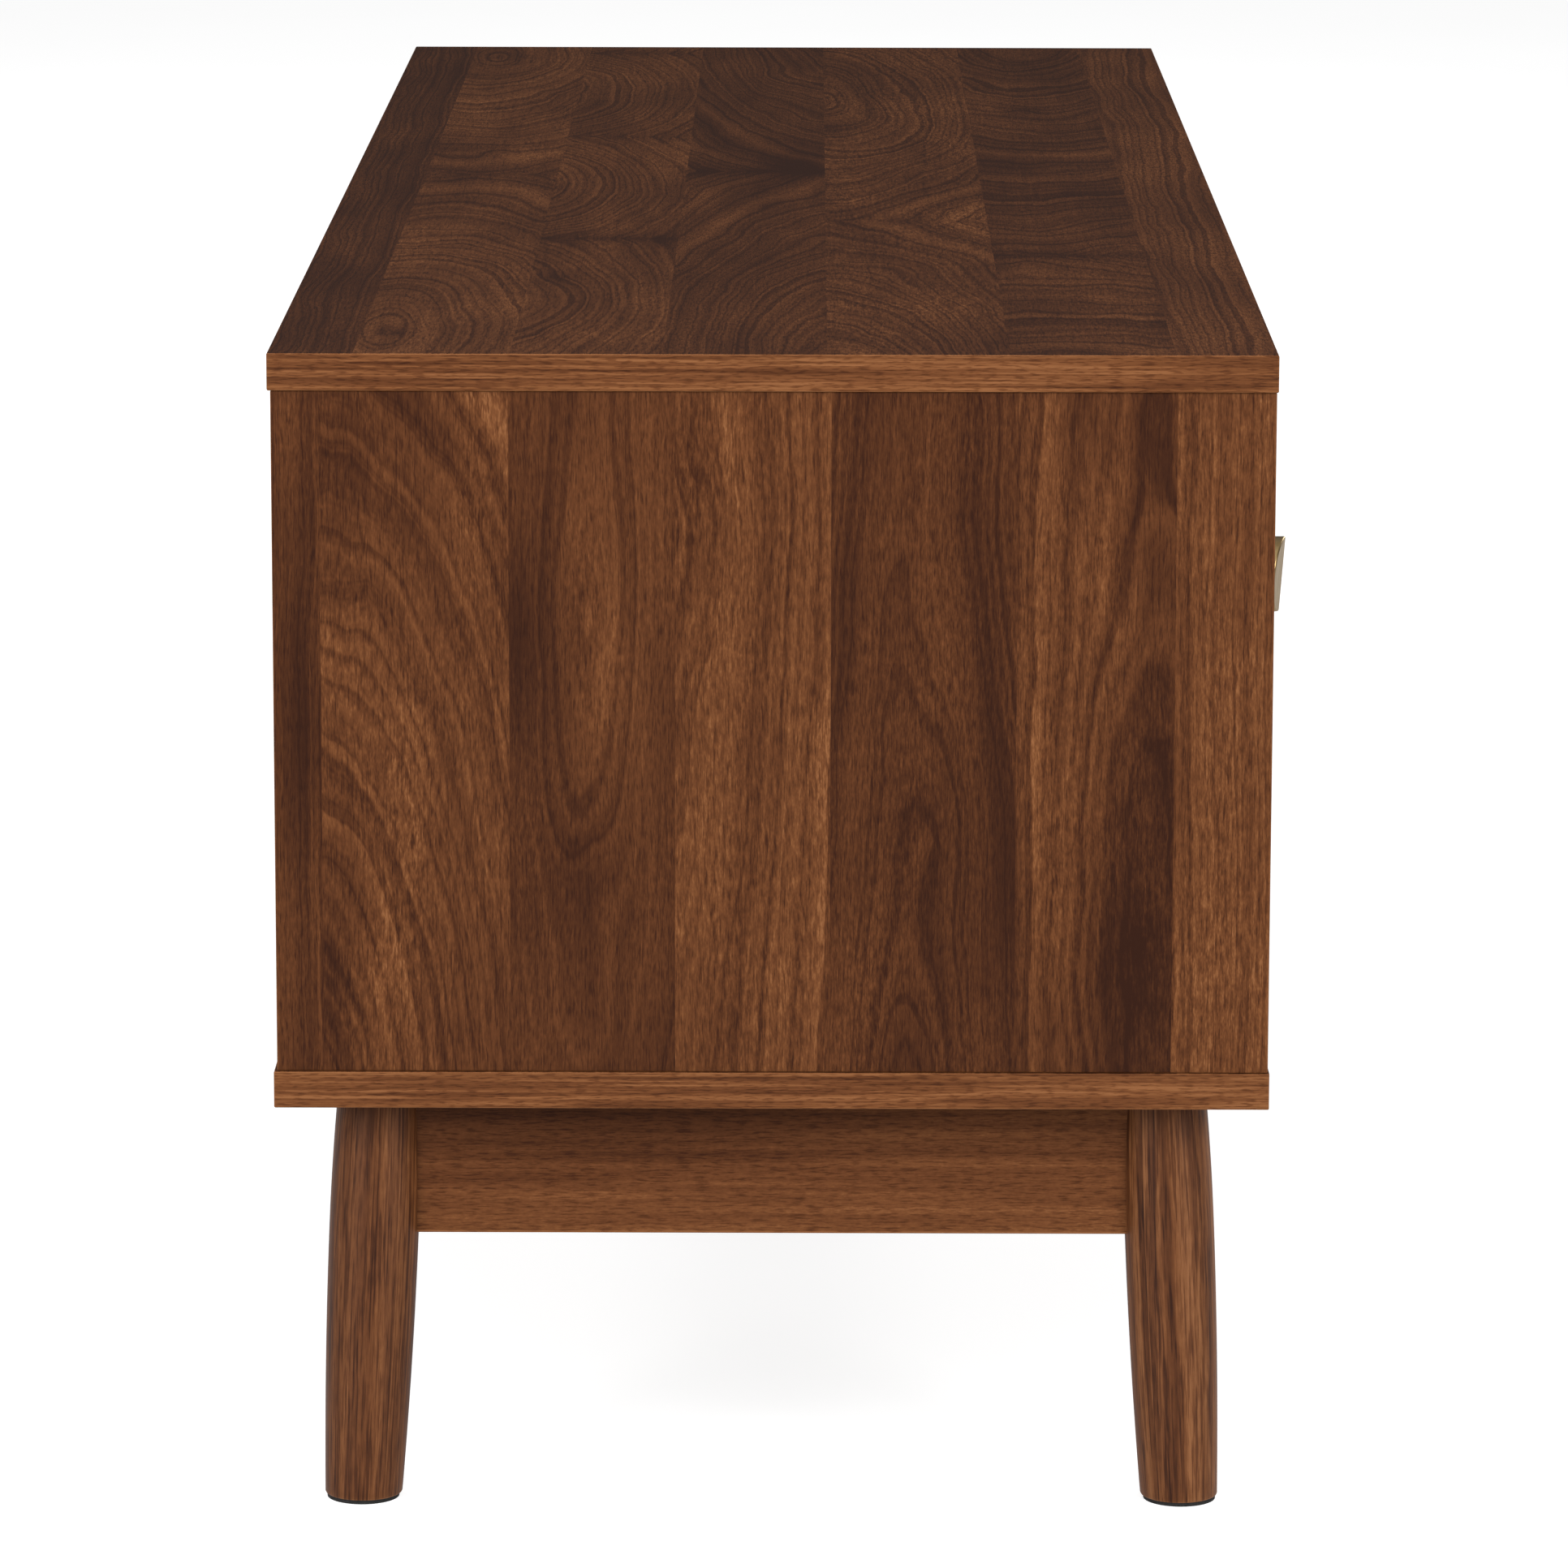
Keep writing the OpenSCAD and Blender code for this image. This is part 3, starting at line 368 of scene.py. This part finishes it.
def walnut_tone(g, across, along, planks, knots, seed, figure):
    """Tone of a printed plank surface, 0 dark to 1 light, and its pores. Places are in metres."""
    warp = g.noise(g.vector(g.mul(across, 9), g.mul(along, 2.2), float(seed)), 1, 2, 0.5)
    plank = plank_values(g, across, planks, seed)
    dark, bulge = knot_shades(g, across, along, planks, knots)
    phase = plank["phase"]

    # how far below the board's face the pith lies here
    ahead = g.math("PINGPONG", g.sub(along, plank["eye"]), plank["turn"])
    depth = g.mul(g.math("DIVIDE", ahead, g.add(1.0, g.mul(ahead, plank["soft"]))), plank["slope"])
    broad = g.noise(g.vector(g.mul(across, 10), g.mul(along, 5), phase), 1, 2, 0.5)
    depth = g.add(depth, g.mul(g.sub(broad, 0.5), 0.026))
    wave = g.noise(g.vector(g.mul(across, 40), g.mul(along, 12), phase), 1, 3, 0.55)
    aside = g.add(g.sub(across, plank["centre"]), g.mul(g.sub(warp, 0.5), 0.028))
    radius = g.math("SQRT", g.add(g.mul(aside, aside), g.mul(depth, depth)))
    radius = g.add(g.add(radius, bulge), g.mul(g.sub(wave, 0.5), 0.0075))
    rings = g.add(g.mul(g.mul(radius, plank["pitch"]), 1000), phase)

    bands = g.noise(g.mul(rings, 0.085), 1, 2, 0.6, flat=True)
    lines = g.noise(g.mul(rings, 0.36), 1, 2, 0.65, flat=True)
    hair = g.noise(g.vector(g.mul(rings, 0.9), g.mul(along, 9), phase), 1, 2, 0.5)
    clouds = g.noise(g.vector(g.mul(across, 22), g.mul(along, 6), phase), 1, 3, 0.55)
    drift = g.add(across, g.mul(g.sub(wave, 0.5), 0.004))
    flecks = g.noise(g.vector(g.mul(drift, 820), g.mul(along, 190), phase), 1, 2, 0.8)
    fibres = g.noise(g.vector(g.mul(drift, 950), g.mul(along, 14), phase), 1, 3, 0.65)
    pores = g.noise(g.vector(g.mul(drift, 1900), g.mul(along, 130), phase), 1, 1, 0.5)

    tone = g.add(0.56, g.mul(plank["tone"], 0.95))
    for pattern, weight in zip((bands, lines, hair, clouds, fibres), (*figure, 0.24, 0.62, 0.34)):
        tone = g.math("MULTIPLY_ADD", g.sub(pattern, 0.5), weight, tone)
    fleck_weight = g.mul(plank["fleck"], g.remap(clouds, 0.35, 0.65, 0.40, 1.05))
    tone = g.math("MULTIPLY_ADD", g.sub(flecks, 0.5), fleck_weight, tone)
    thin_dark = g.remap(lines, 0.34, 0.44, 1.0, 0.0)
    tone = g.sub(tone, g.mul(thin_dark, 0.10))
    near_bar = g.math("EXPONENT", g.mul(g.sub(plank["turn"], ahead), -70.0))
    tone = g.sub(tone, g.mul(g.mul(near_bar, plank["bar"]), g.remap(broad, 0.35, 0.65, 1.5, 0.5)))
    tone = g.sub(tone, dark)
    pore_dark = g.remap(pores, 0.54, 0.66)
    tone = g.sub(tone, g.mul(pore_dark, 0.22))
    return tone, pore_dark


def straight_tone(g, p, thin):
    """Straight grain that runs parallel to both broad faces of a board: thin is the axis across it."""
    def stretched(coarse, fine):
        return g.vector(*(g.mul(p[axis], fine if axis == thin else coarse) for axis in "XYZ"))

    bend = g.noise(stretched(14, 60), 1, 2, 0.5)
    lines = g.noise(g.vector_add(stretched(8, 560), g.vector(bend, bend, bend)), 1, 3, 0.65)
    flecks = g.noise(stretched(160, 1500), 1, 2, 0.5)
    tone = g.add(0.76, g.mul(g.sub(lines, 0.5), 1.6))
    return g.sub(tone, g.mul(g.remap(flecks, 0.50, 0.64), 0.26))


def finish_walnut(g, tone, pore_dark, roughness=(0.42, 0.50), specular=0.07):
    """Colours the print by its tone and presses the pores a little way in."""
    g.set(base_color=g.ramp(tone, WALNUT), specular=specular)
    g.put(g.shader.inputs["Roughness"], g.remap(tone, 0.2, 0.8, *roughness))
    g.bump(g.mul(pore_dark, -1.0), 0.12, PORE_DEPTH)
    return g.material


def board_material(name, node, along, across, planks, seed, knots, shade=0.0, figure=PLAIN_FIGURE):
    """Foil-covered board: printed planks on its broad faces, straight-grained bands on its edges."""
    g = Graph(name)
    low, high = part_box(node)
    axes = "XYZ"
    thin = (set(axes) - {along, across}).pop()
    a, b = axes.index(across), axes.index(along)
    p = g.coordinates()
    normal = g.coordinates("Normal")
    u = g.sub(high[a], p[across])
    v = g.sub(high[b], p[along]) if along == "Z" else g.sub(p[along], low[b])
    tone, pores = walnut_tone(g, u, v, planks, knots, seed, figure)
    edge_tone = straight_tone(g, p, thin)
    facing = {axis: g.math("ABSOLUTE", normal[axis]) for axis in axes}
    broad = g.math("GREATER_THAN", facing[thin], 0.75)
    # shade darkens the broad faces' print: painted shade for a board that gets less light
    mixed = g.add(g.mul(g.add(tone, shade), broad), g.mul(edge_tone, g.sub(1.0, broad)))
    # the eased edges, which face no axis squarely, are painted lighter: a painted highlight along each
    # rounded edge
    flattest = g.math("MAXIMUM", g.math("MAXIMUM", facing["X"], facing["Y"]), facing["Z"])
    mixed = g.add(mixed, g.remap(flattest, 0.97, 0.90, 0.0, 0.30))
    return finish_walnut(g, mixed, g.mul(pores, broad))


def apron_material(name, node, along):
    """Straight grain along the apron, paler towards its lower edge: painted shade darkens it towards the top,
    under the bottom board's overhang.
    """
    g = Graph(name)
    p = g.coordinates()
    normal = g.coordinates("Normal")
    lines = g.noise(g.vector(g.mul(p[along], 5), 0.0, g.mul(p["Z"], 260)), 1, 4, 0.6)
    broad = g.noise(g.vector(g.mul(p[along], 3), 0.0, g.mul(p["Z"], 45)), 1, 2, 0.5)
    flecks = g.noise(g.vector(g.mul(p[along], 130), 0.0, g.mul(p["Z"], 1300)), 1, 2, 0.6)
    mottle = g.noise(g.vector(g.mul(p[along], 240), 0.0, g.mul(p["Z"], 620)), 1, 2, 0.8)
    pore_dark = g.remap(flecks, 0.50, 0.64)
    low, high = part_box(node)
    # painted shade: the tone falls from the lower edge to the top edge, where the bottom board's overhang
    # casts its shadow
    tone = g.add(g.remap(p["Z"], low.z, high.z, 0.79, 0.55), g.mul(g.sub(lines, 0.5), 0.75))
    tone = g.add(tone, g.mul(g.sub(broad, 0.5), 0.60))
    tone = g.add(tone, g.mul(g.sub(mottle, 0.5), 0.45))
    tone = g.sub(tone, g.mul(pore_dark, 0.26))
    rim = g.math("LESS_THAN", p["Z"], low.z + APRON_RIM)
    tone = g.add(tone, g.mul(rim, 0.28))
    tone = g.add(tone, g.mul(g.math("GREATER_THAN", g.math("ABSOLUTE", normal["Z"]), 0.75), 0.1))
    return finish_walnut(g, tone, pore_dark)


def leg_material(name, seed, base, joint_angle):
    """Wrapped print with grain along the leg; the wrap's two edges meet in a thin light joint."""
    g = Graph(name)
    p = g.coordinates()
    normal = g.coordinates("Normal")
    shift = 3.7 * seed
    half_round = WRAP_GIRTH_RADIUS * math.pi
    cos, sin = math.cos(joint_angle), math.sin(joint_angle)
    away = g.add(g.mul(p["X"], -cos), g.mul(p["Y"], -sin))
    aside = g.add(g.mul(p["X"], sin), g.mul(p["Y"], -cos))
    girth = g.mul(g.math("ARCTAN2", aside, away), half_round / math.pi)
    lines = g.noise(g.vector(g.mul(girth, 230), g.mul(p["Z"], 4.5), shift), 1, 4, 0.6)
    broad = g.noise(g.vector(g.mul(girth, 55), g.mul(p["Z"], 3), shift), 1, 2, 0.5)
    flecks = g.noise(g.vector(g.mul(girth, 1300), g.mul(p["Z"], 70), shift), 1, 2, 0.5)
    pore_dark = g.remap(flecks, 0.50, 0.68)
    mottle = g.noise(g.vector(g.mul(girth, 700), g.mul(p["Z"], 160), shift), 1, 2, 0.6)
    streak = g.remap(g.noise(g.vector(g.mul(girth, 150), g.mul(p["Z"], 6), shift), 1, 3, 0.6), 0.52, 0.62)
    threads = g.noise(g.vector(g.mul(girth, 820), g.mul(p["Z"], 22), shift), 1, 2, 0.6)
    tone = g.add(base, g.mul(g.sub(lines, 0.5), 0.9))
    tone = g.add(tone, g.mul(g.sub(broad, 0.5), 0.7))
    tone = g.add(tone, g.mul(g.sub(mottle, 0.5), 0.3))
    tone = g.sub(tone, g.mul(streak, 0.28))
    tone = g.sub(tone, g.mul(g.remap(threads, 0.52, 0.60), 0.32))
    tone = g.sub(tone, g.mul(pore_dark, 0.22))
    joint = g.math("GREATER_THAN", g.math("ABSOLUTE", girth), half_round - WRAP_JOINT_HALF_WIDTH)
    tone = g.add(tone, g.mul(joint, 0.18))
    # the wrap is trimmed at the foot's rounded edge
    tone = g.add(tone, g.remap(normal["Z"], -0.2, -0.5, 0.0, 0.3))
    return finish_walnut(g, tone, pore_dark, roughness=(0.38, 0.46), specular=0.14)


def raw_material(name, dark, light, scale, roughness):
    """Plain fibrous or cast surface that varies between two colours."""
    g = Graph(name)
    p = g.coordinates()
    place = g.vector(*(g.mul(p[axis], scale[i]) for i, axis in enumerate("XYZ")))
    grain = g.noise(place, 1, 4, 0.6)
    speck = g.noise(place, 9, 2, 0.5)
    value = g.add(g.mul(grain, 0.75), g.mul(speck, 0.25))
    g.set(base_color=g.ramp(value, [(0.3, dark), (0.7, light)]), specular=0.35)
    g.put(g.shader.inputs["Roughness"], g.remap(value, 0.3, 0.7, roughness + 0.08, roughness - 0.08))
    g.bump(value, 0.12, 0.0003)
    return g.material


def metal_material(name, dark, light, roughness, brush=(900, 60, 60)):
    """Plated metal with fine brushing and a little uneven polish."""
    g = Graph(name)
    p = g.coordinates()
    lines = g.noise(g.vector(*(g.mul(p[axis], brush[i]) for i, axis in enumerate("XYZ"))), 1, 3, 0.6)
    polish = g.noise(g.vector(p["X"], p["Y"], p["Z"]), 60, 2, 0.5)
    value = g.add(g.mul(lines, 0.6), g.mul(polish, 0.4))
    g.set(base_color=g.ramp(value, [(0.3, dark), (0.7, light)]), metallic=1.0)
    g.put(g.shader.inputs["Roughness"], g.remap(value, 0.3, 0.7, roughness + 0.07, roughness - 0.07))
    g.bump(value, 0.05, 0.0002)
    return g.material


def floor_material():
    """A floor lit to near white, which throws less of that light back up at the underside."""
    g = Graph("pale_floor")
    p = g.coordinates()
    seen = g.tree.nodes.new("ShaderNodeLightPath").outputs["Is Camera Ray"]
    soft = g.noise(g.vector(p["X"], p["Y"], 0.0), 3, 3, 0.5)
    g.set(base_color=g.ramp(soft, [(0.3, (0.42, 0.42, 0.42)), (0.7, (0.44, 0.44, 0.44))]),
          roughness=0.9, specular=0.1, emission=(1, 1, 1), emission_strength=g.add(0.30, g.mul(seen, 0.50)))
    return g.material


# ---------- Pieces made here ----------

def new_piece(name, mesh, material, replaced):
    """Puts a smooth-shaded mesh in the scene in place of the CAD node it replaces."""
    piece = bpy.data.objects.new(name, mesh)
    bpy.context.scene.collection.objects.link(piece)
    mesh.materials.append(material)
    for polygon in mesh.polygons:
        polygon.use_smooth = True
    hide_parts(replaced)
    return piece


def leg_profile(height):
    """(radius, drop) pairs down a leg: an easy swell and then a longer taper."""
    pairs = []
    for k in range(LEG_RINGS + 1):
        drop = height * k / LEG_RINGS
        if drop < LEG_BELLY_DROP:
            above = 1 - drop / LEG_BELLY_DROP
            radius = LEG_BELLY_RADIUS - (LEG_BELLY_RADIUS - LEG_TOP_RADIUS) * above ** 2
        else:
            below = (drop - LEG_BELLY_DROP) / (height - LEG_BELLY_DROP)
            radius = LEG_BELLY_RADIUS - (LEG_BELLY_RADIUS - LEG_FOOT_RADIUS) * below ** 2
        pairs.append((radius, drop))
    return pairs


def make_leg(name, body, seed, base):
    """A smooth turned leg in its own leaning frame, cut level at the top and at the foot."""
    low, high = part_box(name)
    side = 1 if (low.x + high.x) > 0 else -1
    rear = 1 if (low.y + high.y) / 2 > CASE_MIDDLE_Y else -1
    # at the top the leg is a circle, and it leans outward from there
    top_x = (low.x + LEG_TOP_RADIUS) if side > 0 else (high.x - LEG_TOP_RADIUS)
    top_y = (low.y + LEG_TOP_RADIUS) if rear > 0 else (high.y - LEG_TOP_RADIUS)
    frame_matrix = (Matrix.Translation((top_x, top_y, high.z))
                    @ Matrix.Rotation(-side * LEG_SPLAY, 4, "Y")
                    @ Matrix.Rotation(rear * LEG_SPLAY, 4, "X"))
    inverse = frame_matrix.inverted()
    joint_angle = math.atan2(-rear * math.sin(WRAP_JOINT_TURN), side * math.cos(WRAP_JOINT_TURN))
    axis = frame_matrix.to_3x3() @ Vector((0, 0, -1))
    mesh = bpy.data.meshes.new(name + "_turned")
    bm = bmesh.new()
    rings = []
    for radius, drop in leg_profile(high.z - low.z):
        ring = []
        for k in range(LEG_SIDES):
            angle = 2 * math.pi * k / LEG_SIDES
            spot = Vector((radius * math.cos(angle), radius * math.sin(angle), -drop))
            ring.append(frame_matrix @ spot)
        rings.append(ring)
    # the first and last rings are slid along the axis to the level cuts
    for ring, z in ((rings[0], high.z), (rings[-1], low.z + LEG_FOOT_BEVEL)):
        for k, spot in enumerate(ring):
            ring[k] = spot + axis * ((z - spot.z) / axis.z)
    foot = rings[-1]
    centre = sum(foot, Vector()) / LEG_SIDES
    for inward, downward in ((0.35, 0.7), (1.0, 1.0)):
        fall = Vector((0, 0, LEG_FOOT_BEVEL * downward))
        rings.append([spot + (centre - spot).normalized() * LEG_FOOT_BEVEL * inward - fall
                      for spot in foot])
    made = [[bm.verts.new(inverse @ spot) for spot in ring] for ring in rings]
    for upper, lower in zip(made, made[1:]):
        for k in range(LEG_SIDES):
            after = (k + 1) % LEG_SIDES
            bm.faces.new((upper[k], lower[k], lower[after], upper[after]))
    bm.faces.new(made[0])
    bm.faces.new(reversed(made[-1]))
    bmesh.ops.recalc_face_normals(bm, faces=bm.faces)
    bm.to_mesh(mesh)
    bm.free()
    material = leg_material(name + "_print", seed, base, joint_angle)
    piece = new_piece(name + "_turned", mesh, material, name)
    piece.matrix_world = frame_matrix
    mesh.set_sharp_from_angle(angle=math.radians(50))
    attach(piece, body)


# ---------- Dressing the CAD pieces ----------

def give(node, material):
    """Makes this the CAD piece's only material."""
    mesh = NODES[node].data
    mesh.materials.clear()
    mesh.materials.append(material)


def add_bevel(node, width, segments):
    """Joins a CAD piece's separate faces and then bevels the edges between them."""
    modifiers = NODES[node].modifiers
    modifiers.new("joined_faces", "WELD").merge_threshold = TOUCHING
    whole = modifiers.new("whole_faces", "DECIMATE")
    whole.decimate_type = "DISSOLVE"
    whole.angle_limit = math.radians(0.5)
    bevel = modifiers.new("eased_edges", "BEVEL")
    bevel.width = width
    bevel.segments = segments
    bevel.harden_normals = True
    return bevel


def ease_board(node, width, free=""):
    """Rounds a board's outer edges. Its corners are found on the box, except along the free axis."""
    low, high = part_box(node)
    held = [i for i, axis in enumerate("XYZ") if axis != free]
    corners = []
    for vertex in NODES[node].data.vertices:
        gaps = [min(abs(vertex.co[i] - low[i]), abs(vertex.co[i] - high[i])) for i in held]
        if max(gaps) < TOUCHING:
            corners.append(vertex.index)
    group = NODES[node].vertex_groups.new(name="outer_corners")
    group.add(corners, 1.0, "REPLACE")
    bevel = add_bevel(node, width, 2)
    bevel.limit_method = "VGROUP"
    bevel.vertex_group = group.name
    bevel.use_clamp_overlap = False


def ease_edges(node, width, segments, angle):
    """Rounds all of a piece's sharp edges."""
    bevel = add_bevel(node, width, segments)
    bevel.limit_method = "ANGLE"
    bevel.angle_limit = math.radians(angle)
    bevel.use_clamp_overlap = True


def dress_boards():
    """Walnut print on the boards, a plainer one on the thin ones, and eased outer edges."""
    def printed(node, along, across, seed, planks=None, knots=(), **more):
        low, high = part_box(node)
        size = {axis: (high[i] - low[i]) / MM for i, axis in enumerate("XYZ")}
        planks = planks or random_planks(size[across], size[along], seed)
        give(node, board_material(node + "_print", node, along, across, planks, seed, knots, **more))

    # the top board's print is darkened by painted shade, for the weaker light that falls on the top
    printed("top_panel", "X", "Y", 11, TOP_PLANKS, TOP_KNOTS, shade=-0.12, figure=FINE_FIGURE)
    printed("bottom_panel", "X", "Y", 12)
    for side, seed in (("left", 21), ("right", 22)):
        printed(side + "_side_panel", "Z", "Y", seed, SIDE_PLANKS, SIDE_KNOTS)
        printed(side + "_partition", "Z", "Y", seed + 10)
        printed(side + "_shelf", "X", "Y", seed + 20)
        printed(side + "_door", "X", "Z", seed + 30)
    for level, seed in (("upper", 61), ("lower", 62)):
        printed(level + "_drawer_front", "X", "Z", seed)
        printed(level + "_drawer_back", "X", "Z", seed + 10)
        for side in ("left", "right"):
            printed(f"{level}_drawer_{side}_side", "Y", "Z", seed + 20)
        bottom = f"{level}_drawer_bottom"
        give(bottom, raw_material(bottom + "_print", (0.07, 0.028, 0.014), (0.16, 0.068, 0.034),
                                  (6, 90, 6), 0.6))
    give("back_panel", raw_material("back_panel_print", (0.055, 0.021, 0.010), (0.16, 0.068, 0.033),
                                    (5, 60, 320), 0.6))
    for node in ("top_panel", "bottom_panel", "left_side_panel", "right_side_panel", "left_door",
                 "right_door", "upper_drawer_front", "lower_drawer_front", "left_shelf", "right_shelf"):
        ease_board(node, BOARD_EASE)
    for node, along in (("left_end_apron", "Y"), ("right_end_apron", "Y"),
                        ("front_apron", "X"), ("rear_apron", "X")):
        give(node, apron_material(node + "_print", node, along))
        ease_board(node, BOARD_EASE, free=along)


def dress_hardware():
    """Metal, felt, plastic and beech, given out by each piece's material slot."""
    steel = metal_material("bright_zinc", (0.50, 0.50, 0.50), (0.72, 0.72, 0.71), 0.30)
    zinc = metal_material("yellow_zinc", (0.45, 0.43, 0.38), (0.66, 0.63, 0.56), 0.34)
    cast = metal_material("cast_zinc", (0.28, 0.28, 0.28), (0.46, 0.46, 0.46), 0.48, (300, 300, 300))
    brass = metal_material("satin_brass", (0.31, 0.20, 0.085), (0.43, 0.30, 0.14), 0.36, (500, 500, 40))
    felt = raw_material("foot_felt", (0.006, 0.006, 0.006), (0.022, 0.021, 0.02), (900, 900, 900), 0.85)
    plastic = raw_material("catch_plastic", (0.022, 0.015, 0.011), (0.05, 0.036, 0.026), (500, 500, 500), 0.5)
    beech = raw_material("beech_dowel", (0.42, 0.27, 0.14), (0.62, 0.44, 0.26), (300, 300, 20), 0.65)
    slots = {"bright_steel": steel, "zinc_steel": zinc, "cast_zinc": cast, "satin_brass": brass,
             "foot_felt": felt, "catch_plastic": plastic, "beech": beech}
    for entry in frame["record"]["subparts"]:
        if entry["material_slot"] in slots:
            give(entry["node"], slots[entry["material_slot"]])
    for node in ("left_door_pull", "right_door_pull", "upper_drawer_pull", "lower_drawer_pull"):
        ease_edges(node, PULL_EASE, 3, 50)
    for node in ("hinge_plates", "magnetic_catches", "left_strike_plate", "right_strike_plate"):
        ease_edges(node, PLATE_EASE, 2, 50)


make_camera()
make_studio()
dress_boards()
dress_hardware()
for leg, seed, base in (("front_left_leg", 1, 0.82), ("front_right_leg", 2, 0.76),
                        ("rear_left_leg", 3, 0.73), ("rear_right_leg", 4, 0.76)):
    make_leg(leg, "cabinet", seed, base)
